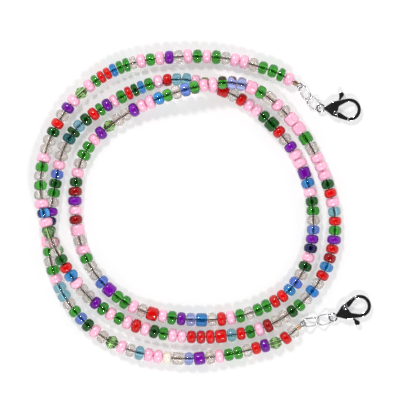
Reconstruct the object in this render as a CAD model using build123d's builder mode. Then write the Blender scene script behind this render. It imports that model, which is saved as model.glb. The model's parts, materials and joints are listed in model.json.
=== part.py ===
from build123d import *
import math
import os

# Beaded eyeglass retainer: one strand of glass seed beads on a beading wire, with two twisted
# chain links and a sprung lobster clasp at each end. It lies loose on a flat surface at z = 0,
# wound in almost three turns. Millimetres, +Z up, origin under the middle of the coil.

os.makedirs("parts", exist_ok=True)

# ---- beads: the size letters are "-" thin, none for ordinary, "+" long ----
bead_diameter = 4.1
bead_bore = 1.1
bore_lip = 0.25
end_land = 0.05
round_length = 2.55
round_corner = 1.1
thin_length = 1.85
thin_corner = 0.8
long_length = 3.3
long_corner = 0.7
crystal_length = 3.3
crystal_end_diameter = 2.2
crystal_sides = 8
bead_gap = 0.06

# ---- beading wire, crimps and wire loops ----
wire_diameter = 0.42
wire_fit = 0.02
crimp_length = 1.2
crimp_wall = 0.3
crimp_gap = 0.15
leg_gap = 0.04
loop_reach = 1.55
loop_half_width = 0.74
loop_tilt = 30
loop_leg_length = 0.1
loop_swell_share = 0.42
loop_full_share = 0.8
loop_tip_share = 0.45

# ---- chain links ----
link_wire = 0.52
link_1_length = 5.4
link_1_width = 3.2
link_2_length = 5.0
link_2_width = 3.8
link_twist = 60
link_side_share = 0.55
link_end_share = 0.42
link_play = 0.12
loop_play = 0.2
loop_hold_share = 0.6
eye_play = 0.2

# ---- lobster clasps ----
eye_diameter = 2.9
eye_wire = 0.72
neck_x = 1.35
neck_diameter = 1.1
housing_x = 4.2
housing_width = 4.5
housing_thickness = 2.3
housing_slope_in = 1.95
housing_slope_out = 2.6
hook_x = 8.25
hook_diameter = 6.6
hook_wall = 1.15
hook_thickness = 1.2
opening_heel_x = 6.2
opening_heel_width = 2.2
pivot_x = 4.15
pivot_y = -1.2
gate_root_x = 4.95
gate_top_y = -0.9
gate_root_in = 0.5
gate_root_drop = 0.85
gate_reach = 4.05
lever_thickness = 1.2
lever_clearance = 0.06
lever_travel = 24
gate_swing_gap = 0.5
hub_diameter = 1.9
arm_width = 0.8
knob_x = 5.73
knob_y = 4.15
knob_diameter = 1.6
knob_stem = 1.0
rivet_diameter = 0.8
rivet_head = 0.06
rivet_clearance = 0.05
spring_thickness = 0.14
spring_width = 0.9
spring_bend = 0.2
spring_leaf = [(4.0, 0.55), (2.95, 0.0), (3.45, 1.2)]
spring_room_points = [(3.0, 0.1), (3.5, 1.1), (3.9, 0.4)]
spring_room_radius = 0.35

# ---- heights of the lying strand and of its clasps ----
strand_height = bead_diameter / 2
chain_height = housing_thickness / 2 + rivet_head
crossing_height = 6.6

# ---- route of the wire, in plan, from the crimp at end A to the crimp at end B ----
end_a_route = [(27.0, 35.3), (21.5, 38.5), (13.7, 40.9)]
main_route = [
    (13.7, 40.9), (7.5, 42.8), (-8.0, 43.0), (-23.5, 40.5), (-36.5, 31.0), (-44.5, 17.0),
    (-46.0, 2.0), (-40.5, -14.5),
    (-30.0, -28.5), (-14.0, -36.0), (3.0, -37.5), (20.5, -34.5), (34.0, -23.0), (39.5, -6.5),
    (35.5, 10.5), (26.5, 25.5),
    (12.5, 36.5), (-5.0, 33.5),
    (-20.5, 27.5), (-34.0, 16.5), (-36.5, -0.5), (-32.5, -17.0), (-20.5, -29.0), (-4.0, -32.5),
    (13.0, -31.5), (28.0, -23.0), (33.0, -7.0), (30.5, 10.0), (21.0, 24.0), (7.0, 34.0),
    (-9.0, 37.5), (-25.0, 30.5), (-38.5, 20.5), (-42.0, 3.5), (-44.0, -13.5), (-37.5, -29.0),
    (-24.5, -40.0), (-8.0, -43.5), (7.0, -42.6), (14.6, -40.5),
]
end_b_route = [(14.6, -40.5), (23.4, -38.1), (28.0, -34.2)]
# The strand rides over itself twice, and each hump has two points at its top.
raised_points = [(-46.0, 2.0), (-40.5, -14.5), (12.5, 36.5), (-5.0, 33.5)]

# Plan directions of the pieces beyond each crimp, in degrees, and which face of the clasp is up.
end_a_angles = {"link_1": -56, "link_2": -40, "clasp": -3}
end_b_angles = {"link_1": 8, "link_2": 14, "clasp": 23}

# ---- order of the beads from end A to end B ----
finishes = {
    "P": "pink_pearl_beads",
    "G": "green_beads",
    "D": "dark_green_beads",
    "R": "red_beads",
    "M": "maroon_beads",
    "U": "purple_beads",
    "N": "navy_beads",
    "V": "periwinkle_beads",
    "L": "lilac_beads",
    "B": "blue_beads",
    "S": "sky_beads",
    "T": "teal_beads",
    "O": "olive_bead",
    "C": "clear_beads",
    "H": "champagne_beads",
    "X": "crystal_beads",
}
bead_order = (
    "P G- G G C P P C G P G P C U P G P C- G- G- "
    "B- R- R- G- P X P U C R D C C P G C G C P B "
    "P X C C D R B P C C U G P G P R P D G P "
    "P R R R R+ S R G P M C C D G C B C R B M "
    "R U G R S P R D P P P C+ G+ P+ P+ C P C+ G P+ "
    "L L G P P G V C G B P P U C C X U P G G "
    "C P D M U P M P+ C P G C C V U+ G G P C R+ "
    "P G U L B+ C R P G C G G R R B V C D P N "
    "U V C G D P B U+ P P U C R D+ D P P R C R+ "
    "P O P S S R P G B- D- R- G P- U G- R D S D- T "
    "C C P V D G C U N D P+ G C G P S S C G V "
    "D P C X P C S P P H C+ L U+ C P G G C R U "
    "X R C"
).split()
end_bead_count = 5


def corner_radii(points):
    """Bend radius at each inside corner, as large as the two runs beside it allow."""
    radii = []
    for before, here, after in zip(points, points[1:], points[2:]):
        run_in = Vector(*here) - Vector(*before)
        run_out = Vector(*after) - Vector(*here)
        half_turn = math.radians(run_in.get_angle(run_out) / 2)
        radii.append(0.45 * min(run_in.length, run_out.length) / math.tan(half_turn))
    return radii


def tube(points, diameter):
    """Round wire along straight runs joined by tangent arcs: the solid and its centre line."""
    radii = corner_radii(points)
    with BuildPart() as solid:
        with BuildLine() as path:
            FilletPolyline(*points, radius=radii)
        with BuildSketch(Plane(origin=path.line @ 0, z_dir=path.line % 0)):
            Circle(diameter / 2)
        sweep(path=path.line)
    return solid.part, path.wire(), radii


def at_height(plan_points):
    """Route points in space: on the surface, or raised where the strand crosses itself."""
    route = []
    for point in plan_points:
        height = crossing_height if point in raised_points else strand_height
        route.append((*point, height))
    return route


def revolved_bead(length, corner):
    """A bead round its bore, along Z, with generous outside corners and a small lip."""
    wall = (bead_diameter - bead_bore) / 2
    corner = min(corner, wall - bore_lip - end_land)
    with BuildPart() as bead:
        with BuildSketch(Plane.XZ) as profile:
            with Locations((bead_bore / 2 + wall / 2, 0)):
                Rectangle(wall, length)
            fillet(profile.vertices().group_by(Axis.X)[-1], corner)
            fillet(profile.vertices().group_by(Axis.X)[0], bore_lip)
        revolve(axis=Axis.Z)
    return bead.part


def crystal_bead():
    """A faceted bicone: two pyramids, base to base, cut off at the bore."""
    with BuildPart() as bead:
        with BuildSketch(Plane.XY.offset(-crystal_length / 2)):
            RegularPolygon(crystal_end_diameter / 2, crystal_sides)
        with BuildSketch(Plane.XY):
            RegularPolygon(bead_diameter / 2, crystal_sides)
        loft()
        mirror(about=Plane.XY)
        Cylinder(bead_bore / 2, crystal_length, mode=Mode.SUBTRACT)
    return bead.part


bead_sizes = {
    "-": (thin_length, thin_corner),
    "": (round_length, round_corner),
    "+": (long_length, long_corner),
}
bead_blanks = {}
for size, (length, corner) in bead_sizes.items():
    bead_blanks[size] = revolved_bead(length, corner)
bead_blanks["X"] = crystal_bead()


def size_of(code):
    """Size key of a bead code such as "P", "P-" or "X"."""
    return "X" if code == "X" else code[1:]


def length_of(code):
    return crystal_length if code == "X" else bead_sizes[size_of(code)][0]


def lip_of(code):
    """Radius at which a bead's end meets its neighbour's in a bend."""
    if code == "X":
        return crystal_end_diameter / 2
    return bead_diameter / 2 - bead_sizes[size_of(code)][1]


def string_beads(path, codes, start, stop):
    """Planes across the wire for each bead, packed along it with the slack shared evenly."""
    marks = [start + length_of(codes[0]) / 2]
    for before, after in zip(codes, codes[1:]):
        step = (length_of(before) + length_of(after)) / 2 + bead_gap
        here = path.tangent_at(marks[-1], position_mode=PositionMode.LENGTH)
        there = path.tangent_at(marks[-1] + step, position_mode=PositionMode.LENGTH)
        lip = max(lip_of(before), lip_of(after))
        marks.append(marks[-1] + step + lip * math.radians(here.get_angle(there)))
    slack = stop - marks[-1] - length_of(codes[-1]) / 2
    print(f"{len(codes)} beads, slack {slack:.2f} mm")
    planes = []
    for index, mark in enumerate(marks):
        middle = mark + slack * (index + 0.5) / len(marks)
        position = path.position_at(middle, position_mode=PositionMode.LENGTH)
        direction = path.tangent_at(middle, position_mode=PositionMode.LENGTH)
        planes.append(Plane(origin=position, z_dir=direction))
    return planes


def write(piece, name):
    piece.label = name
    export_step(piece, f"parts/{name}.step")


# ---- beading wire ----
wire_end_a, end_a_path, end_a_radii = tube(at_height(end_a_route), wire_diameter)
beading_wire, main_path, main_radii = tube(at_height(main_route), wire_diameter)
wire_end_b, end_b_path, end_b_radii = tube(at_height(end_b_route), wire_diameter)
write(wire_end_a, "wire_end_a")
write(beading_wire, "beading_wire")
write(wire_end_b, "wire_end_b")
print("wire length", round(end_a_path.length + main_path.length + end_b_path.length, 1))
print("bend radii", [round(r, 1) for r in end_a_radii + main_radii + end_b_radii])
section = math.pi * wire_diameter**2 / 4
print("wire volume over section times length", beading_wire.volume / (section * main_path.length))

# ---- beads ----
bead_start = crimp_length / 2 + crimp_gap
first_codes = bead_order[:end_bead_count]
middle_codes = bead_order[end_bead_count:-end_bead_count]
last_codes = bead_order[-end_bead_count:]
half_gap = bead_gap / 2
first_planes = string_beads(end_a_path, first_codes, bead_start, end_a_path.length - half_gap)
middle_planes = string_beads(main_path, middle_codes, half_gap, main_path.length - half_gap)
last_planes = string_beads(end_b_path, last_codes, half_gap, end_b_path.length - bead_start)

for letter, name in finishes.items():
    with BuildPart() as group:
        for size, blank in bead_blanks.items():
            places = []
            for code, plane in zip(middle_codes, middle_planes):
                if code[0] == letter and size_of(code) == size:
                    places.append(plane.location)
            if places:
                with Locations(*places):
                    add(blank, clean=False)
    write(group.part, name)

end_beads = [("a", first_codes, first_planes), ("b", last_codes[::-1], last_planes[::-1])]
for end, codes, planes in end_beads:
    for number, (code, plane) in enumerate(zip(codes, planes), start=1):
        with BuildPart() as bead:
            with Locations(plane.location):
                add(bead_blanks[size_of(code)])
        write(bead.part, f"bead_{end}{number}")
        print(f"bead {end}{number} axis through", plane.origin, "along", plane.z_dir)


def twisted_link(length, width):
    """A closed link of round wire along X, its oval twisted so that its ends lean opposite ways."""
    half_length = (length - link_wire) / 2
    half_width = (width - link_wire) / 2
    lean = math.radians(link_twist)
    side_lean = link_side_share * lean
    side_length = link_side_share * half_length
    end_width = link_end_share * half_width
    side = (side_length, half_width * math.cos(side_lean), half_width * math.sin(side_lean))
    end = (half_length, end_width * math.cos(lean), end_width * math.sin(lean))
    half_outline = [
        (0, side[1], 0),
        side,
        end,
        (end[0], -end[1], -end[2]),
        (side[0], -side[1], -side[2]),
        (0, -side[1], 0),
    ]
    half = tube(half_outline, link_wire)[0]
    with BuildPart() as link:
        add(half)
        add(half.rotate(Axis.Z, 180))
    return link.part


def crimp():
    """Flattened crimp tube along X, ending at the origin, its slot just wide enough for two wires."""
    slot_height = wire_diameter + 2 * wire_fit
    slot_width = slot_height + wire_diameter + leg_gap
    with BuildPart() as sleeve:
        with BuildSketch(Plane.YZ.offset(-crimp_length)):
            SlotOverall(slot_width + 2 * crimp_wall, slot_height + 2 * crimp_wall)
            SlotOverall(slot_width, slot_height, mode=Mode.SUBTRACT)
        extrude(amount=crimp_length)
    return sleeve.part


def wire_loop():
    """The wire's loop beyond the crimp, flat in XY, with both legs inside the crimp."""
    leg = (wire_diameter + leg_gap) / 2
    inside = -crimp_length / 2 + crimp_gap / 2
    side = [
        (inside, leg),
        (loop_leg_length, leg),
        (loop_swell_share * loop_reach, loop_half_width),
        (loop_full_share * loop_reach, loop_half_width),
        (loop_reach, loop_tip_share * loop_half_width),
    ]
    other_side = [(x, -y) for x, y in reversed(side)]
    points = [(x, y, 0) for x, y in side + other_side]
    return tube(points, wire_diameter)[0]


# ---- lobster clasp, along X with its eye at the origin ----
hook_radius = hook_diameter / 2
opening_radius = hook_radius - hook_wall
eye_radius = (eye_diameter - eye_wire) / 2

with BuildSketch() as clasp_opening:
    with Locations((hook_x, 0)):
        Circle(opening_radius)
    with Locations((opening_heel_x, 0)):
        Circle(opening_heel_width / 2)
    make_hull()

with BuildSketch() as clasp_silhouette:
    with Locations((neck_x, 0)):
        Circle(neck_diameter / 2)
    with Locations((housing_x, 0)):
        Circle(housing_width / 2)
    with Locations((hook_x, 0)):
        Circle(hook_radius)
    make_hull()
    add(clasp_opening.sketch, mode=Mode.SUBTRACT)


def gate_region(root_x, top_y, reach):
    """The stretch of the clasp's rim that belongs to the gate: an arc round the pivot ends it."""
    with BuildSketch() as region:
        with Locations((root_x, top_y)):
            Rectangle(2 * hook_x, 2 * hook_x, align=(Align.MIN, Align.MAX))
        with Locations((pivot_x, pivot_y)):
            Circle(reach, mode=Mode.INTERSECT)
    return region.sketch


def turned(point, angle):
    """A plan point carried round the lever's pivot by an angle in degrees."""
    arm = Vector(point[0] - pivot_x, point[1] - pivot_y).rotate(Axis.Z, angle)
    return (pivot_x + arm.X, pivot_y + arm.Y)


gate_root = (gate_root_x + gate_root_in, pivot_y - gate_root_drop)
knob = (knob_x, knob_y)


def lever_room(point):
    """Plan of the space that the lever sweeps between the pivot and one of its points."""
    with BuildSketch() as room:
        with Locations((pivot_x, pivot_y)):
            Circle(hub_diameter / 2 + lever_clearance)
        with Locations(point, turned(point, lever_travel)):
            Circle(arm_width / 2 + lever_clearance)
        make_hull()
    return room.sketch


with BuildSketch() as spring_room:
    with Locations(*spring_room_points):
        Circle(spring_room_radius)
    make_hull()

gate_outline = gate_region(gate_root_x, gate_top_y, gate_reach)
gate_gap = gate_region(
    gate_root_x - lever_clearance, gate_top_y + gate_swing_gap, gate_reach + lever_clearance
)
knob_room = lever_room(knob)
gate_root_room = lever_room(gate_root)

with BuildPart() as clasp_body:
    with BuildSketch():
        add(clasp_silhouette.sketch)
        add(gate_gap, mode=Mode.SUBTRACT)
    extrude(amount=housing_thickness / 2, both=True)
    with BuildSketch(Plane.XZ):
        with BuildLine():
            top = [
                (0, neck_diameter / 2),
                (neck_x, neck_diameter / 2),
                (neck_x + housing_slope_in, housing_thickness / 2),
                (gate_root_x, housing_thickness / 2),
                (gate_root_x + housing_slope_out, hook_thickness / 2),
                (hook_x + hook_radius, hook_thickness / 2),
            ]
            bottom = [(x, -z) for x, z in reversed(top)]
            Polyline(*top, *bottom, close=True)
        make_face()
    extrude(amount=hook_diameter, both=True, mode=Mode.INTERSECT)
    Torus(eye_radius, eye_wire / 2)
    with BuildSketch():
        add(knob_room)
        add(gate_root_room)
        add(spring_room.sketch)
    extrude(amount=lever_thickness / 2 + lever_clearance, both=True, mode=Mode.SUBTRACT)
    with Locations((pivot_x, pivot_y)):
        Cylinder(rivet_diameter / 2, 2 * housing_thickness, mode=Mode.SUBTRACT)

with BuildSketch() as lever_hub:
    with Locations((pivot_x, pivot_y)):
        Circle(hub_diameter / 2)
    with Locations(gate_root):
        Circle(arm_width / 2)
    make_hull()

with BuildSketch() as lever_arm:
    with Locations((pivot_x, pivot_y), knob):
        Circle(arm_width / 2)
    make_hull()

stem_share = knob_stem / math.hypot(knob_x - pivot_x, knob_y - pivot_y)
stem = (knob_x - stem_share * (knob_x - pivot_x), knob_y - stem_share * (knob_y - pivot_y))
with BuildSketch() as lever_knob:
    with Locations(stem):
        Circle(arm_width / 2)
    with Locations(knob):
        Circle(knob_diameter / 2)
    make_hull()

with BuildPart() as clasp_lever:
    with BuildSketch():
        add(clasp_silhouette.sketch)
        add(gate_outline, mode=Mode.INTERSECT)
        add(lever_hub.sketch)
        add(lever_arm.sketch)
        add(lever_knob.sketch)
    extrude(amount=lever_thickness / 2, both=True)
    with Locations((pivot_x, pivot_y)):
        Cylinder(rivet_diameter / 2 + rivet_clearance, 2 * lever_thickness, mode=Mode.SUBTRACT)

with BuildPart() as clasp_rivet:
    with Locations((pivot_x, pivot_y)):
        Cylinder(rivet_diameter / 2, housing_thickness + 2 * rivet_head)
    fillet(clasp_rivet.edges().filter_by(GeomType.CIRCLE), rivet_head)

with BuildPart() as clasp_spring:
    with BuildSketch():
        with BuildLine() as leaf:
            FilletPolyline(*spring_leaf, radius=spring_bend)
        trace(line_width=spring_thickness)
    extrude(amount=spring_width / 2, both=True)

link_1 = twisted_link(link_1_length, link_1_width)
link_2 = twisted_link(link_2_length, link_2_width)


def level_direction(angle):
    return Vector(1, 0, 0).rotate(Axis.Z, angle)


def chain_end(end, crimp_middle, outward, angles, clasp_up):
    """Place the crimp, loop, links and clasp beyond one end of the wire, and write each piece."""
    crimp_end = crimp_middle + outward * (crimp_length / 2)
    loop_up = Vector(0, 0, 1).rotate(Axis((0, 0, 0), outward), loop_tilt)
    loop_place = Plane(origin=crimp_end, x_dir=outward, z_dir=loop_up)
    loop_far = crimp_end + outward * loop_reach

    link_1_way = level_direction(angles["link_1"])
    reach = (wire_diameter + link_wire) / 2 + loop_play
    loop_hinge = loop_far - outward * loop_hold_share * reach
    near_1 = loop_hinge - link_1_way * (1 - loop_hold_share) * reach
    span_1 = link_1_length - link_wire
    drop = math.asin((near_1.Z - chain_height) / span_1)
    link_1_way = link_1_way * math.cos(drop) - Vector(0, 0, 1) * math.sin(drop)
    far_1 = near_1 + link_1_way * span_1
    side = Vector(0, 0, 1).cross(link_1_way)
    link_1_place = Plane(origin=(near_1 + far_1) / 2, x_dir=link_1_way, z_dir=link_1_way.cross(side))

    link_2_way = level_direction(angles["link_2"])
    near_2 = far_1 - link_2_way * (link_wire + link_play)
    far_2 = near_2 + link_2_way * (link_2_length - link_wire)
    link_2_place = Plane(origin=(near_2 + far_2) / 2, x_dir=link_2_way, z_dir=(0, 0, 1))

    clasp_way = level_direction(angles["clasp"])
    eye_middle = far_2 + clasp_way * (eye_radius - (eye_wire + link_wire) / 2 - eye_play)
    clasp_place = Plane(origin=eye_middle, x_dir=clasp_way, z_dir=(0, 0, clasp_up))

    pieces = {
        "crimp": (crimp(), loop_place),
        "wire_loop": (wire_loop(), loop_place),
        "chain_link_1": (link_1, link_1_place),
        "chain_link_2": (link_2, link_2_place),
        "clasp_body": (clasp_body.part, clasp_place),
        "clasp_lever": (clasp_lever.part, clasp_place),
        "clasp_rivet": (clasp_rivet.part, clasp_place),
        "clasp_spring": (clasp_spring.part, clasp_place),
    }
    for name, (blank, plane) in pieces.items():
        with BuildPart() as piece:
            with Locations(plane.location):
                add(blank)
        write(piece.part, f"{name}_{end}")
    pivot = clasp_place.from_local_coords((pivot_x, pivot_y, 0))
    hook = clasp_place.from_local_coords((hook_x, 0, 0))
    print("end", end, "loop", loop_hinge, "link 1 to 2", (far_1 + near_2) / 2, "eye", far_2)
    print("   pivot", pivot, "hook", hook)


chain_end("a", end_a_path @ 0, -(end_a_path % 0), end_a_angles, 1)
chain_end("b", end_b_path @ 1, end_b_path % 1, end_b_angles, -1)
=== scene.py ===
# %% [markdown]
# # A beaded eyeglass chain
#
# A retainer chain like this one is a single strand of glass seed beads on a beading wire. Each
# end has a crimp, a loop of the wire, two twisted chain links and a lobster clasp. The packed
# model says where each piece is. This lesson strings finer beads on a smooth wire, casts better
# metal over the plain findings, and gives every piece the finish that the real one has.

import json
import math
import random

import bmesh
import bpy
from mathutils import Matrix, Vector


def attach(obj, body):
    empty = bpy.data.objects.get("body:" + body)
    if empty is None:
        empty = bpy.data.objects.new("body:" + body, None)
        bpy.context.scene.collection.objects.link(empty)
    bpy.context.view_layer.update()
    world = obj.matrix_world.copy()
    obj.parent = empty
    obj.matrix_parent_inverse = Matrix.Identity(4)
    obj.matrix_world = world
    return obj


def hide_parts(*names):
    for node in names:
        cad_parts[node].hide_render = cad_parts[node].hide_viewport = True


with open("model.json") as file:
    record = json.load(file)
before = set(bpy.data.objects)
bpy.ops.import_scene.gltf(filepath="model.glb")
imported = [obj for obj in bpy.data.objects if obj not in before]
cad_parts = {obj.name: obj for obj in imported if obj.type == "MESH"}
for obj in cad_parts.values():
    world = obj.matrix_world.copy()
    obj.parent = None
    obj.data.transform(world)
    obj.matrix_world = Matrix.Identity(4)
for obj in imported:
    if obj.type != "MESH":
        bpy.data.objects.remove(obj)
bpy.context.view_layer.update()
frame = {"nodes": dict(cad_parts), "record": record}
MM = 0.001

# %% [markdown]
# ## The camera
#
# The chain lies flat, so it is looked at from straight above. A long lens from a distance keeps
# the view almost parallel, so that no bead shows more of its side than its neighbour does.

# %% Camera straight above the coil
VIEW_WIDTH = 118.6 * MM
VIEW_MIDDLE = (2.17 * MM, -0.27 * MM)
CAMERA_HEIGHT = 1.2
SENSOR = 36.0

camera_data = bpy.data.cameras.new("camera_above")
camera_data.sensor_width = SENSOR
camera_data.lens = SENSOR * CAMERA_HEIGHT / VIEW_WIDTH
camera_data.clip_start = 0.01
camera = bpy.data.objects.new("camera_above", camera_data)
camera.location = (*VIEW_MIDDLE, CAMERA_HEIGHT)
bpy.context.collection.objects.link(camera)
bpy.context.scene.camera = camera
print("lens", round(camera_data.lens, 1), "mm")

# %% [markdown]
# ## The beading wire
#
# The strand is wound almost three times and rides over itself twice. Its route is a short list
# of given points. A NURBS curve takes them as control points, so the line it draws is smooth
# everywhere. Each crossing is a long low hump, with two raised points at its top.

# %% Route of the wire, in millimetres
LYING = 2.05
RAISED = 6.6

main_route = [
    (13.7, 40.9), (7.5, 42.8), (-8.0, 43.0), (-23.5, 40.5), (-36.5, 31.0), (-44.5, 17.0),
    (-46.0, 2.0), (-40.5, -14.5),
    (-30.0, -28.5), (-14.0, -36.0), (3.0, -37.5), (20.5, -34.5), (34.0, -23.0), (39.5, -6.5),
    (35.5, 10.5), (26.5, 25.5),
    (12.5, 36.5), (-5.0, 33.5),
    (-20.5, 27.5), (-34.0, 16.5), (-36.5, -0.5), (-32.5, -17.0), (-20.5, -29.0), (-4.0, -32.5),
    (13.0, -31.5), (28.0, -23.0), (33.0, -7.0), (30.5, 10.0), (21.0, 24.0), (7.0, 34.0),
    (-9.0, 37.5), (-25.0, 30.5), (-38.5, 20.5), (-42.0, 3.5), (-44.0, -13.5), (-37.5, -29.0),
    (-24.5, -40.0), (-8.0, -43.5), (7.0, -42.6), (14.6, -40.5),
]
raised_points = [(-46.0, 2.0), (-40.5, -14.5), (12.5, 36.5), (-5.0, 33.5)]
WIRE_DIAMETER = 0.42


def in_space(plan_points):
    """Route points in metres, on the surface or at the top of a hump."""
    return [
        Vector((x, y, RAISED if (x, y) in raised_points else LYING)) * MM for x, y in plan_points
    ]


# %% The wire as a smooth curve


def smooth_curve(name, points, radius):
    """A NURBS curve with the points as its control points, as thick as a wire."""
    curve = bpy.data.curves.new(name, "CURVE")
    curve.dimensions = "3D"
    spline = curve.splines.new("NURBS")
    spline.points.add(len(points) - 1)
    for control, point in zip(spline.points, points):
        control.co = (*point, 1.0)
        control.radius = radius
    spline.order_u = 3
    spline.use_endpoint_u = True
    spline.resolution_u = 12
    curve.bevel_depth = 1.0
    curve.bevel_resolution = 3
    curve.use_fill_caps = True
    piece = bpy.data.objects.new(name, curve)
    bpy.context.collection.objects.link(piece)
    return piece


def centre_line(piece):
    """Points along a curve's own line, read with its thickness off."""
    plain = piece.copy()
    plain.data = piece.data.copy()
    plain.data.bevel_depth = 0.0
    plain.data.use_fill_caps = False
    bpy.context.collection.objects.link(plain)
    bpy.context.view_layer.update()
    mesh = bpy.data.meshes.new_from_object(plain.evaluated_get(bpy.context.evaluated_depsgraph_get()))
    line = [vertex.co.copy() for vertex in mesh.vertices]
    bpy.data.meshes.remove(mesh)
    bpy.data.objects.remove(plain)
    return line


wire = smooth_curve("wire", in_space(main_route), WIRE_DIAMETER / 2 * MM)
wire_line = centre_line(wire)


def length_along(line):
    return sum((after - before).length for before, after in zip(line, line[1:]))


print("wire length", round(length_along(wire_line) / MM, 1), "mm")

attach(wire, "strand")
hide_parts("beading_wire")

# %% [markdown]
# ## Shader maths as plain expressions
#
# Node graphs are easier to read as arithmetic. `Value` wraps a socket, so that `1 - mask * 0.5`
# adds the Math nodes it needs. `Finish` is one material: its `node` method adds any other node.

# %% Helpers for materials


class Value:
    """A number that varies over a surface, as a socket of some node."""

    def __init__(self, finish, socket):
        self.finish = finish
        self.socket = socket

    def maths(self, operation, first, second):
        node = self.finish.node("ShaderNodeMath", {"operation": operation}, {0: first, 1: second})
        return Value(self.finish, node.outputs[0])

    def __add__(self, other):
        return self.maths("ADD", self, other)

    def __radd__(self, other):
        return self.maths("ADD", other, self)

    def __sub__(self, other):
        return self.maths("SUBTRACT", self, other)

    def __rsub__(self, other):
        return self.maths("SUBTRACT", other, self)

    def __mul__(self, other):
        return self.maths("MULTIPLY", self, other)

    def __rmul__(self, other):
        return self.maths("MULTIPLY", other, self)

    def __pow__(self, other):
        return self.maths("POWER", self, other)


class Finish:
    """One material: a Principled shader, and the nodes that feed it."""

    def __init__(self, name, **constants):
        self.material = bpy.data.materials.new(name)
        self.material.use_nodes = True
        self.tree = self.material.node_tree
        self.shader = self.tree.nodes["Principled BSDF"]
        self.output = self.tree.nodes["Material Output"]
        self.feed(self.shader, constants)

    def feed(self, node, inputs):
        """Set or link the named sockets of a node."""
        for key, value in inputs.items():
            socket = node.inputs[key.replace("_", " ") if isinstance(key, str) else key]
            if isinstance(value, Value):
                self.tree.links.new(value.socket, socket)
            elif isinstance(value, bpy.types.NodeSocket):
                self.tree.links.new(value, socket)
            else:
                socket.default_value = value

    def node(self, kind, settings, inputs):
        """Any node, with its settings first and then its sockets."""
        node = self.tree.nodes.new(kind)
        for key, value in settings.items():
            setattr(node, key, value)
        self.feed(node, inputs)
        return node

    def noise(self, scale, detail=2.0):
        """Soft random values from 0 to 1, fixed to the object, with this many waves a metre."""
        place = self.node("ShaderNodeTexCoord", {}, {}).outputs["Object"]
        noise = self.node("ShaderNodeTexNoise", {}, {"Vector": place, "Scale": scale, "Detail": detail})
        return Value(self, noise.outputs["Fac"])

    def attribute(self, name):
        node = self.node("ShaderNodeAttribute", {"attribute_name": name}, {})
        return Value(self, node.outputs["Fac"])

    def rim(self, power):
        """0 where the surface faces the eye and 1 at its outline: the mask for painted shade and sheen."""
        node = self.node("ShaderNodeLayerWeight", {}, {"Blend": 0.5})
        return Value(self, node.outputs["Facing"]) ** power

    def mix(self, amount, first, second):
        """A colour between two colours."""
        node = self.node("ShaderNodeMix", {"data_type": "RGBA", "clamp_factor": True}, {})
        self.feed(node, {0: amount, 6: first, 7: second})
        return node.outputs[2]

    def bump(self, height, strength, distance):
        node = self.node(
            "ShaderNodeBump", {}, {"Height": height, "Strength": strength, "Distance": distance}
        )
        return node.outputs["Normal"]


def paint(colour):
    """A colour with its alpha."""
    return (*colour, 1.0)


# %% [markdown]
# ## Glass and pearl
#
# Pearl, opaque, silver-lined and clear beads make up the mix. Pearl beads are opaque glass under a
# lustre, so they look soft: the lamps give a bright spot, and a painted sheen lightens the colour
# where the bead faces the eye. Opaque red and purple beads are the same glass with a plain wet
# shine. Silver-lined beads are clear coloured glass with a mirror inside the bore: the mirror sends
# the light back through the colour. Clear and transparent beads let the wire show. Every kind has
# painted shade in its colour: it is painted deeper towards its outline, which a Layer Weight node
# gives, and towards the bead's ends.

# %% Bead finishes
EDGE_SHADE = 0.35
OPAQUE_EDGE_SHADE = 0.3


def pearl(name, light, deep):
    """Opaque pearl glass: painted shade at ends and outline, painted sheen where it faces the eye."""
    finish = Finish(name, Coat_Weight=1.0, Coat_Roughness=0.1, Specular_IOR_Level=0.9)
    ends = finish.attribute("towards_end")
    own = finish.attribute("own_shade")
    cloud = finish.noise(420.0)
    # Painted shade and sheen: the colour goes deeper towards the ends and the outline and lighter where
    # the bead faces the eye; own_shade and the cloud are random tone.
    amount = ends**2.0 * 0.35 + finish.rim(1.5) * 0.8 + own * 0.25 + cloud * 0.2 - 0.15
    colour = finish.mix(amount, paint(light), paint(deep))
    height = finish.noise(2600.0)
    finish.feed(finish.shader, {
        "Base Color": colour,
        "Roughness": 0.25 + cloud * 0.12,
        "Normal": finish.bump(height, 0.12, 0.00004),
    })
    finish.shader.inputs["Subsurface Weight"].default_value = 0.12
    finish.shader.inputs["Subsurface Radius"].default_value = (0.0012, 0.0006, 0.0006)
    return finish.material


def solid_glass(name, light, deep):
    """Opaque glass with a wet shine, and painted shade at its ends and its outline."""
    finish = Finish(name, Coat_Weight=0.6, Coat_Roughness=0.03, Specular_IOR_Level=0.15)
    own = finish.attribute("own_shade")
    cloud = finish.noise(520.0)
    body = finish.mix(own * 0.6 + cloud * 0.3 - 0.1, paint(light), paint(deep))
    # Painted shade: a darker copy of the deep colour, laid on towards the bead's ends and its outline.
    painted_edge_shade = [OPAQUE_EDGE_SHADE * part for part in deep]
    ends = finish.attribute("towards_end")
    finish.feed(finish.shader, {
        "Base Color": finish.mix(ends**3.0 * 0.5 + finish.rim(3.0) * 0.9, body, paint(painted_edge_shade)),
        "Roughness": 0.18 + cloud * 0.15,
        "Normal": finish.bump(finish.noise(1300.0), 0.2, 0.00006),
    })
    return finish.material


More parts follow.
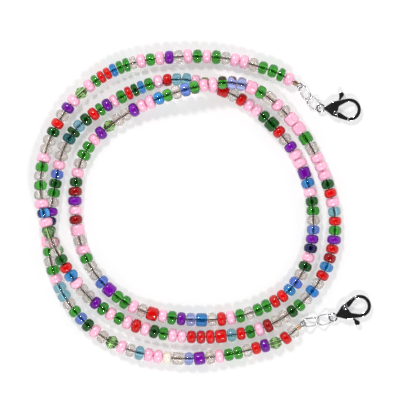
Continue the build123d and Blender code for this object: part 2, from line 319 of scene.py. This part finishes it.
def stained_glass(name, light, deep, density, depth_colour, opacity):
    """Transparent coloured glass: the colour deepens with the way that light goes through it."""
    finish = Finish(name, IOR=1.5, Transmission_Weight=1.0, Alpha=opacity)
    own = finish.attribute("own_shade")
    cloud = finish.noise(500.0)
    body = finish.mix(own * 0.8 + cloud * 0.3, paint(light), paint(deep))
    ends = finish.attribute("towards_end")
    # Painted shade: a darker copy of the deep colour, laid on towards the bead's ends and its outline; the
    # volume absorption below is real depth of colour.
    painted_edge_shade = [EDGE_SHADE * part**2.0 for part in deep]
    finish.feed(finish.shader, {
        "Base Color": finish.mix(ends**4.0 * 0.5 + finish.rim(2.5) * 0.9, body, paint(painted_edge_shade)),
        "Roughness": 0.01 + cloud * 0.02,
        "Normal": finish.bump(finish.noise(700.0), 0.06, 0.00005),
    })
    absorb = finish.node(
        "ShaderNodeVolumeAbsorption", {}, {"Color": paint(depth_colour), "Density": density}
    )
    finish.tree.links.new(absorb.outputs[0], finish.output.inputs["Volume"])
    return finish.material


def silver_lining(name, tone):
    """The mirror inside a silver-lined bore."""
    finish = Finish(name, Metallic=1.0)
    patch = finish.noise(900.0)
    finish.feed(finish.shader, {
        "Base Color": finish.mix(patch, paint(tone), paint([0.75 * part for part in tone])),
        "Roughness": 0.4 + patch * 0.2,
    })
    return finish.material


# letter: (imported node, kind, light colour, deep colour, density a metre, colour with depth)
# The painted shade at each bead's outline and ends comes from its deep colour, and a pearl's light colour
# is its painted sheen where it faces the eye.
FINISHES = {
    "P": ("pink_pearl_beads", "pearl", (1.0, 0.56, 0.74), (0.92, 0.24, 0.44), 0, None),
    "G": ("green_beads", "lined", (0.55, 1.0, 0.35), (0.32, 0.85, 0.25), 620, (0.12, 0.70, 0.08)),
    "D": ("dark_green_beads", "lined", (0.40, 0.85, 0.38), (0.20, 0.62, 0.22), 950, (0.08, 0.55, 0.10)),
    "R": ("red_beads", "solid", (0.80, 0.002, 0.002), (0.50, 0.001, 0.002), 0, None),
    "M": ("maroon_beads", "solid", (0.36, 0.001, 0.003), (0.20, 0.001, 0.003), 0, None),
    "U": ("purple_beads", "solid", (0.22, 0.001, 0.42), (0.10, 0.001, 0.22), 0, None),
    "N": ("navy_beads", "lined", (0.25, 0.35, 0.85), (0.12, 0.18, 0.60), 900, (0.08, 0.12, 0.5)),
    "V": ("periwinkle_beads", "clear", (0.60, 0.77, 1.0), (0.45, 0.62, 1.0), 420, (0.30, 0.50, 0.97)),
    "L": ("lilac_beads", "clear", (0.80, 0.86, 1.0), (0.70, 0.76, 1.0), 300, (0.55, 0.62, 1.0)),
    "B": ("blue_beads", "lined", (0.40, 0.90, 1.0), (0.15, 0.72, 1.0), 420, (0.02, 0.52, 0.92)),
    "S": ("sky_beads", "clear", (0.76, 0.96, 1.0), (0.64, 0.90, 0.97), 330, (0.38, 0.76, 0.85)),
    "T": ("teal_beads", "lined", (0.40, 0.85, 0.85), (0.20, 0.65, 0.65), 600, (0.08, 0.5, 0.5)),
    "O": ("olive_bead", "lined", (0.75, 0.78, 0.42), (0.60, 0.62, 0.30), 400, (0.5, 0.52, 0.22)),
    "C": ("clear_beads", "faint", (1.0, 0.99, 0.97), (1.0, 0.90, 0.84), 50, (0.72, 0.60, 0.50)),
    "H": ("champagne_beads", "pearl", (0.95, 0.86, 0.74), (0.80, 0.66, 0.52), 0, None),
    "X": ("crystal_beads", "clear", (0.88, 1.0, 0.72), (0.75, 0.95, 0.55), 420, (0.55, 0.85, 0.35)),
}
LINING_TONE = (0.95, 0.95, 0.88)
FAINT_OPACITY = 0.8

glass = {}
for letter, (node_name, kind, light, deep, density, depth_colour) in FINISHES.items():
    finish_name = node_name.rsplit("_", 1)[0] + "_glass"
    if kind == "pearl":
        glass[letter] = pearl(finish_name, light, deep)
    elif kind == "solid":
        glass[letter] = solid_glass(finish_name, light, deep)
    else:
        opacity = FAINT_OPACITY if kind == "faint" else 1.0
        glass[letter] = stained_glass(finish_name, light, deep, density, depth_colour, opacity)
lining = silver_lining("silver_lining", LINING_TONE)
print("bead finishes", len(glass))

# %% [markdown]
# ## The beads
#
# A seed bead is a slice of glass tube, tumbled in heat until its corners are round. One section
# of the wall is drawn as a rectangle, its outer corners are bevelled, and spinning it round the
# bore gives the bead. Every bead on the strand is a copy with a small turn and size of its own.

# %% Bead sizes, in millimetres
BEAD_DIAMETER = 4.1
BEAD_BORE = 1.1
BEAD_GAP = 0.06
BEAD_SIZES = {"-": (1.85, 0.65), "": (2.55, 0.9), "+": (3.3, 0.7)}
CRYSTAL_LENGTH = 3.3
SPIN_STEPS = 12
OUTER_STEPS = 2
SMOOTH_ANGLE = 50


def only_selected(piece):
    """Make one piece the only selected and active one."""
    bpy.ops.object.select_all(action="DESELECT")
    piece.select_set(True)
    bpy.context.view_layer.objects.active = piece


# %% Spin one bead of each size


def spun_bead(name, length, corner):
    """A tumbled slice of glass tube round Z, with one unit for a millimetre, so operators are exact."""
    wall = (BEAD_DIAMETER - BEAD_BORE) / 2
    middle = (BEAD_DIAMETER + BEAD_BORE) / 4
    bpy.ops.object.select_all(action="DESELECT")
    bpy.ops.mesh.primitive_plane_add(size=1.0, location=(0, 0, 0))
    bead = bpy.context.object
    bead.name = name
    bpy.ops.object.mode_set(mode="EDIT")
    bpy.ops.mesh.select_all(action="SELECT")
    bpy.ops.transform.resize(value=(wall, length, 1))
    bpy.ops.transform.rotate(value=math.pi / 2, orient_axis="X", center_override=(0, 0, 0))
    bpy.ops.transform.translate(value=(middle, 0, 0))
    bpy.ops.mesh.delete(type="ONLY_FACE")
    bpy.ops.mesh.select_all(action="DESELECT")
    bpy.ops.object.mode_set(mode="OBJECT")
    for vertex in bead.data.vertices:
        vertex.select = vertex.co.x > middle
    bpy.ops.object.mode_set(mode="EDIT")
    bpy.ops.mesh.select_mode(type="VERT")
    bpy.ops.mesh.bevel(offset=corner, segments=OUTER_STEPS, affect="VERTICES")
    bpy.ops.mesh.select_all(action="SELECT")
    bpy.ops.mesh.spin(steps=SPIN_STEPS, angle=2 * math.pi, center=(0, 0, 0), axis=(0, 0, 1))
    bpy.ops.mesh.select_all(action="SELECT")
    bpy.ops.mesh.remove_doubles(threshold=0.001)
    bpy.ops.mesh.normals_make_consistent(inside=False)
    bpy.ops.object.mode_set(mode="OBJECT")
    only_selected(bead)
    bpy.ops.object.shade_smooth_by_angle(angle=math.radians(SMOOTH_ANGLE))
    return bead


blanks = {}
for size, (length, corner) in BEAD_SIZES.items():
    blanks[size] = spun_bead("bead_blank" + size, length, corner)
    print("bead", repr(size), len(blanks[size].data.polygons), "faces")

# %% [markdown]
# The faceted bead is a bicone. Two short eight-sided cones meet at their widest ring, their outer
# rims are drawn in to the bore, and the two loops are bridged by a small hole that goes through.

# %% Cut the faceted bead
CRYSTAL_END = 2.2
CRYSTAL_SIDES = 8


def faceted_bead(name):
    """Eight facets on each side of the middle, round a plain bore."""
    halves = []
    for side in (-1, 1):
        bpy.ops.mesh.primitive_cone_add(
            vertices=CRYSTAL_SIDES, radius1=BEAD_DIAMETER / 2, radius2=CRYSTAL_END / 2,
            depth=CRYSTAL_LENGTH / 2, end_fill_type="NOTHING",
        )
        half = bpy.context.object
        half.data.transform(Matrix.Translation((0, 0, CRYSTAL_LENGTH / 4)))
        half.data.transform(Matrix.Diagonal((1, 1, side, 1)))
        halves.append(half)
    bpy.ops.object.select_all(action="DESELECT")
    for half in halves:
        half.select_set(True)
    bpy.ops.object.join()
    bead = bpy.context.object
    bead.name = name
    bpy.ops.object.mode_set(mode="EDIT")
    bpy.ops.mesh.select_mode(type="VERT")
    bpy.ops.mesh.select_all(action="SELECT")
    bpy.ops.mesh.remove_doubles(threshold=0.001)
    bpy.ops.mesh.select_all(action="DESELECT")
    bpy.ops.object.mode_set(mode="OBJECT")
    rim = CRYSTAL_LENGTH / 2 - 0.01
    for vertex in bead.data.vertices:
        vertex.select = abs(vertex.co.z) > rim
    bpy.ops.object.mode_set(mode="EDIT")
    bpy.ops.mesh.select_mode(type="EDGE")
    bpy.ops.mesh.extrude_edges_move()
    shrink = BEAD_BORE / CRYSTAL_END
    bpy.ops.transform.resize(value=(shrink, shrink, 1))
    bpy.ops.mesh.bridge_edge_loops()
    bpy.ops.mesh.select_all(action="SELECT")
    bpy.ops.mesh.remove_doubles(threshold=0.001)
    bpy.ops.mesh.normals_make_consistent(inside=False)
    bpy.ops.object.mode_set(mode="OBJECT")
    return bead


blanks["X"] = faceted_bead("crystal_blank")
widest = max(math.hypot(vertex.co.x, vertex.co.y) for vertex in blanks["X"].data.vertices)
print("crystal", len(blanks["X"].data.polygons), "faces, widest", round(2 * widest, 2), "mm")

# %% Mark each blank for its finish
BORE_MARK = 0.55


def mark(blank):
    """Store how near each point is to the bead's ends, for painted shade there, and put the bore's faces
    in a second slot.
    """
    mesh = blank.data
    half = max(vertex.co.z for vertex in mesh.vertices)
    marks = mesh.attributes.new("towards_end", "FLOAT", "POINT")
    for vertex, entry in zip(mesh.vertices, marks.data):
        entry.value = abs(vertex.co.z) / half
    for face in mesh.polygons:
        radius = math.hypot(face.center.x, face.center.y)
        if radius < BORE_MARK * BEAD_BORE:
            face.material_index = 1


for blank in blanks.values():
    mark(blank)

# %% [markdown]
# ## The order on the strand
#
# The mix is random, as it comes out of the bag, but this strand has its own order. A letter names
# the finish, "-" is a thin bead and "+" a long one. Beads sit in a row along the wire with a hair
# of slack, and the slack is shared out evenly.

# %% Bead order from end A to end B
bead_order = (
    "P G- G G C P P C G P G P C U P G P C- G- G- "
    "B- R- R- G- P X P U C R D C C P G C G C P B "
    "P X C C D R B P C C U G P G P R P D G P "
    "P R R R R+ S R G P M C C D G C B C R B M "
    "R U G R S P R D P P P C+ G+ P+ P+ C P C+ G P+ "
    "L L G P P G V C G B P P U C C X U P G G "
    "C P D M U P M P+ C P G C C V U+ G G P C R+ "
    "P G U L B+ C R P G C G G R R B V C D P N "
    "U V C G D P B U+ P P U C R D+ D P P R C R+ "
    "P O P S S R P G B- D- R- G P- U G- R D S D- T "
    "C C P V D G C U N D P+ G C G P S S C G V "
    "D P C X P C S P P H C+ L U+ C P G G C R U "
    "X R C"
).split()
END_BEADS = 5


def size_of(code):
    """Size key of a bead code such as "P", "P-" or "X"."""
    return "X" if code == "X" else code[1:]


def length_of(code):
    return CRYSTAL_LENGTH if code == "X" else BEAD_SIZES[size_of(code)][0]


# %% Walk along the wire


class Walk:
    """Places along a line, by the length walked from its start."""

    def __init__(self, line):
        self.line = line
        self.marks = [0.0]
        for before, after in zip(line, line[1:]):
            self.marks.append(self.marks[-1] + (after - before).length)
        self.length = self.marks[-1]

    def at(self, distance):
        distance = min(max(distance, 0.0), self.length)
        low, high = 0, len(self.marks) - 1
        while high - low > 1:
            middle = (low + high) // 2
            if self.marks[middle] <= distance:
                low = middle
            else:
                high = middle
        share = (distance - self.marks[low]) / (self.marks[high] - self.marks[low])
        return self.line[low].lerp(self.line[high], share)

    def place(self, distance):
        """The point there, and the direction the wire runs in."""
        reach = 0.4 * MM
        return self.at(distance), (self.at(distance + reach) - self.at(distance - reach)).normalized()


main_walk = Walk(wire_line)


def packed_row(codes, walk):
    """Middle of each bead along a walk, with the slack shared evenly."""
    marks = [length_of(codes[0]) / 2]
    for before, after in zip(codes, codes[1:]):
        marks.append(marks[-1] + (length_of(before) + length_of(after)) / 2 + BEAD_GAP)
    slack = walk.length / MM - marks[-1] - length_of(codes[-1]) / 2
    print(len(codes), "beads, slack", round(slack, 2), "mm")
    return [(mark + slack * (index + 0.5) / len(marks)) * MM for index, mark in enumerate(marks)]


# %% Place the beads of each finish
middle_codes = bead_order[END_BEADS:-END_BEADS]
middle_marks = packed_row(middle_codes, main_walk)
chance = random.Random(7)
LOOSE_TILT = 0.035
SWELL = (0.89, 1.0)
STRETCH = (0.97, 1.0)


def pose_on_wire(point, along, blank_turn, tilt, swell, stretch):
    """Matrix that stands a blank on the wire, turned and tilted a little as a loose bead is."""
    across = Vector((0, 0, 1)).cross(along).normalized()
    up = along.cross(across)
    stand = Matrix((across, up, along)).transposed().to_4x4()
    lean = Matrix.Rotation(tilt[0], 4, "X") @ Matrix.Rotation(tilt[1], 4, "Y")
    turn = Matrix.Rotation(blank_turn, 4, "Z")
    scale = Matrix.Diagonal((swell * MM, swell * MM, stretch * MM, 1.0))
    return Matrix.Translation(point) @ stand @ lean @ turn @ scale


def loose_pose(point, along):
    """A pose with a random turn about the wire, a little tilt and a size just under the largest."""
    tilt = (chance.gauss(0, LOOSE_TILT), chance.gauss(0, LOOSE_TILT))
    swell = chance.uniform(*SWELL)
    turn = chance.uniform(0, 2 * math.pi)
    return pose_on_wire(point, along, turn, tilt, swell, chance.uniform(*STRETCH))


def string_beads(name, entries):
    """One mesh of many beads: each entry is a blank and its pose."""
    gathered = bmesh.new()
    shade_layer = gathered.verts.layers.float.new("own_shade")
    for blank, pose in entries:
        copy = blank.data.copy()
        copy.transform(pose)
        before = len(gathered.verts)
        gathered.from_mesh(copy)
        gathered.verts.ensure_lookup_table()
        shade = chance.random()
        for vertex in gathered.verts[before:]:
            vertex[shade_layer] = shade
        bpy.data.meshes.remove(copy)
    mesh = bpy.data.meshes.new(name)
    gathered.to_mesh(mesh)
    gathered.free()
    piece = bpy.data.objects.new(name, mesh)
    bpy.context.collection.objects.link(piece)
    return piece


def dress(piece, letter):
    """The bead's glass outside, and a mirror in the bore of a silver-lined one."""
    piece.data.materials.clear()
    piece.data.materials.append(glass[letter])
    piece.data.materials.append(lining if FINISHES[letter][1] == "lined" else glass[letter])


for letter, (node_name, *_) in FINISHES.items():
    entries = []
    for code, distance in zip(middle_codes, middle_marks):
        if code[0] == letter:
            entries.append((blanks[size_of(code)], loose_pose(*main_walk.place(distance))))
    group = string_beads(node_name.replace("_bead", "_glass_bead"), entries)
    dress(group, letter)
    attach(group, "strand")
    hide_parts(node_name)
    print(group.name, len(entries), "beads", len(group.data.polygons), "faces")

# %% [markdown]
# The five beads beside each clasp turn on the wire one by one, so each is a piece of its own. Its
# packed joint says where its bore is, so the finer bead is stood on that axis.

# %% Beads that turn on their own
joints = {joint["name"]: joint for joint in frame["record"]["behaviour"]["joints"]}


def own_bead(name, code):
    joint = joints[name + "_spin"]
    pose = loose_pose(Vector(joint["pos_m"]), Vector(joint["axis"]).normalized())
    bead = string_beads(name + "_glass", [(blanks[size_of(code)], pose)])
    dress(bead, code[0])
    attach(bead, name)
    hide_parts(name)


for number in range(1, END_BEADS + 1):
    own_bead(f"bead_a{number}", bead_order[number - 1])
    own_bead(f"bead_b{number}", bead_order[-number])
for blank in blanks.values():
    bpy.data.objects.remove(blank)

# %% [markdown]
# ## Metal and wire
#
# The findings are bright nickel plate: almost a mirror, a little soft where the casting was
# tumbled. The crimps are antique copper. The wire and its end loops are steel strand under a dark
# nylon coat.

# %% Metal finishes


def metal(name, light, dark, shine, grain, depth):
    """Plated metal with faint tumbling marks and patches of wear."""
    finish = Finish(name, Metallic=1.0)
    patch = finish.noise(260.0, 3.0)
    marks = finish.noise(grain, 4.0)
    finish.feed(finish.shader, {
        "Base Color": finish.mix(patch**1.5, paint(light), paint(dark)),
        "Roughness": shine + patch * 0.08 + marks * 0.05,
        "Normal": finish.bump(marks, 0.2, depth),
    })
    return finish.material


nickel = metal("bright_nickel", (0.80, 0.80, 0.82), (0.52, 0.52, 0.55), 0.05, 1400.0, 0.00002)
copper = metal("antique_copper", (0.66, 0.42, 0.28), (0.28, 0.15, 0.09), 0.22, 2200.0, 0.00006)
spring_steel = metal("spring_steel", (0.62, 0.62, 0.64), (0.42, 0.42, 0.45), 0.25, 3000.0, 0.00003)


def coated_wire(name):
    finish = Finish(name, Coat_Weight=0.5, Coat_Roughness=0.2)
    twist = finish.noise(2500.0)
    finish.feed(finish.shader, {
        "Base Color": finish.mix(twist, paint((0.05, 0.045, 0.045)), paint((0.22, 0.2, 0.19))),
        "Roughness": 0.3 + twist * 0.2,
    })
    return finish.material


wire_coat = coated_wire("coated_beading_wire")
wire.data.materials.append(wire_coat)

# %% [markdown]
# ## Casting the findings
#
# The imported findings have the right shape, but sharp sawn edges. A real clasp is cast and then
# tumbled, which rounds every edge. A copy of each is merged, remeshed into small even faces and
# relaxed a little, so that the edges melt, and the working is done in millimetres. The links also
# lose a thin skin, because they hang so close in each other that they would graze when they swing.

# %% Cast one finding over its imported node
LINK_POLISH = 0.03


def cast(node_name, piece_name, grain, relax, body, material, polish=0.0):
    """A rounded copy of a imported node, with faces about one grain wide and a skin polished off."""
    mesh = frame["nodes"][node_name].data.copy()
    mesh.transform(Matrix.Scale(1 / MM, 4))
    piece = bpy.data.objects.new(piece_name, mesh)
    bpy.context.collection.objects.link(piece)
    only_selected(piece)
    bpy.ops.object.mode_set(mode="EDIT")
    bpy.ops.mesh.select_all(action="SELECT")
    bpy.ops.mesh.remove_doubles(threshold=0.0005)
    bpy.ops.mesh.normals_make_consistent(inside=False)
    bpy.ops.object.mode_set(mode="OBJECT")
    remesh = piece.modifiers.new("even_faces", "REMESH")
    remesh.mode = "VOXEL"
    remesh.voxel_size = grain
    bpy.ops.object.modifier_apply(modifier=remesh.name)
    soften = piece.modifiers.new("tumbled", "SMOOTH")
    soften.iterations = relax
    soften.factor = 0.5
    bpy.ops.object.modifier_apply(modifier=soften.name)
    if polish:
        wear = piece.modifiers.new("polished", "DISPLACE")
        wear.strength = -polish
        wear.mid_level = 0.0
        bpy.ops.object.modifier_apply(modifier=wear.name)
    bpy.ops.object.shade_smooth()
    piece.data.transform(Matrix.Scale(MM, 4))
    piece.data.materials.clear()
    piece.data.materials.append(material)
    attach(piece, body)
    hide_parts(node_name)
    print(piece_name, len(piece.data.polygons), "faces")
    return piece


# Each line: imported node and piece, face size and relaxing, body, slot and metal, skin taken off.
for end in "ab":
    cast(f"crimp_{end}", f"copper_crimp_{end}", 0.06, 4, f"end_{end}", copper)
    cast(f"wire_loop_{end}", f"looped_wire_{end}", 0.06, 3, f"end_{end}", wire_coat)
    for link in ("link_1", "link_2"):
        link_body = f"{link}_{end}"
        cast(f"chain_{link_body}", f"twisted_{link_body}", 0.06, 3, link_body, nickel, LINK_POLISH)
    cast(f"clasp_body_{end}", f"cast_clasp_{end}", 0.08, 26, f"clasp_{end}", nickel)
    cast(f"clasp_lever_{end}", f"cast_lever_{end}", 0.07, 18, f"lever_{end}", nickel)
    cast(f"clasp_rivet_{end}", f"peened_rivet_{end}", 0.06, 3, f"clasp_{end}", nickel)

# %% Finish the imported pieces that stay


def coat_node(node_name, material):
    node = frame["nodes"][node_name]
    node.data.materials.clear()
    node.data.materials.append(material)


for end in "ab":
    coat_node(f"wire_end_{end}", wire_coat)
    coat_node(f"clasp_spring_{end}", spring_steel)

# %% [markdown]
# ## Floor and light
#
# The chain lies on white paper in a light tent. The tent is white all round, which keeps the
# glass bright, and has a dark round hole overhead where the camera looks in. Bright metal shows
# that hole as black bands along every rounded edge, and two lamps put the sparks on the glass.

# %% White floor
FLOOR_SIZE = 3.0
FLOOR_GLOW = 0.45

bpy.ops.object.select_all(action="DESELECT")
bpy.ops.mesh.primitive_plane_add(size=FLOOR_SIZE, location=(0, 0, 0))
floor = bpy.context.object
floor.name = "paper_floor"
paper = Finish("white_paper", Roughness=0.8, Emission_Color=paint((1, 1, 1)), Emission_Strength=FLOOR_GLOW)
paper.feed(paper.shader, {
    "Base Color": paper.mix(paper.noise(30.0), paint((0.50, 0.50, 0.50)), paint((0.52, 0.52, 0.52))),
})
floor.data.materials.append(paper.material)

# %% Light tent
HOLE_COSINE = 0.72
HOLE_SOFTNESS = 0.06
HOLE_SHADE = 0.02
TENT_STRENGTH = 0.95

world = bpy.data.worlds.new("light_tent")
world.use_nodes = True
bpy.context.scene.world = world
tree = world.node_tree
direction = tree.nodes.new("ShaderNodeTexCoord")
split = tree.nodes.new("ShaderNodeSeparateXYZ")
ramp = tree.nodes.new("ShaderNodeValToRGB")
tree.links.new(direction.outputs["Generated"], split.inputs[0])
tree.links.new(split.outputs["Z"], ramp.inputs[0])
tree.links.new(ramp.outputs[0], tree.nodes["Background"].inputs["Color"])
ramp.color_ramp.elements[0].position = HOLE_COSINE - HOLE_SOFTNESS
ramp.color_ramp.elements[0].color = (1, 1, 1, 1)
ramp.color_ramp.elements[1].position = HOLE_COSINE
ramp.color_ramp.elements[1].color = paint([HOLE_SHADE] * 3)
tree.nodes["Background"].inputs["Strength"].default_value = TENT_STRENGTH


def lamp(name, place, size, power):
    """A square soft lamp that looks at the coil."""
    data = bpy.data.lights.new(name, "AREA")
    data.shape = "SQUARE"
    data.size = size
    data.energy = power
    light = bpy.data.objects.new(name, data)
    light.location = place
    light.rotation_euler = (-Vector(place)).to_track_quat("-Z", "Y").to_euler()
    bpy.context.collection.objects.link(light)


LAMP_SIZE = 0.10
lamp("lamp_back_left", (-0.2, 0.45, 0.6), LAMP_SIZE, 3.0)
lamp("lamp_front_right", (0.15, -0.5, 0.6), LAMP_SIZE, 2.5)
bpy.context.scene.view_settings.view_transform = "Standard"
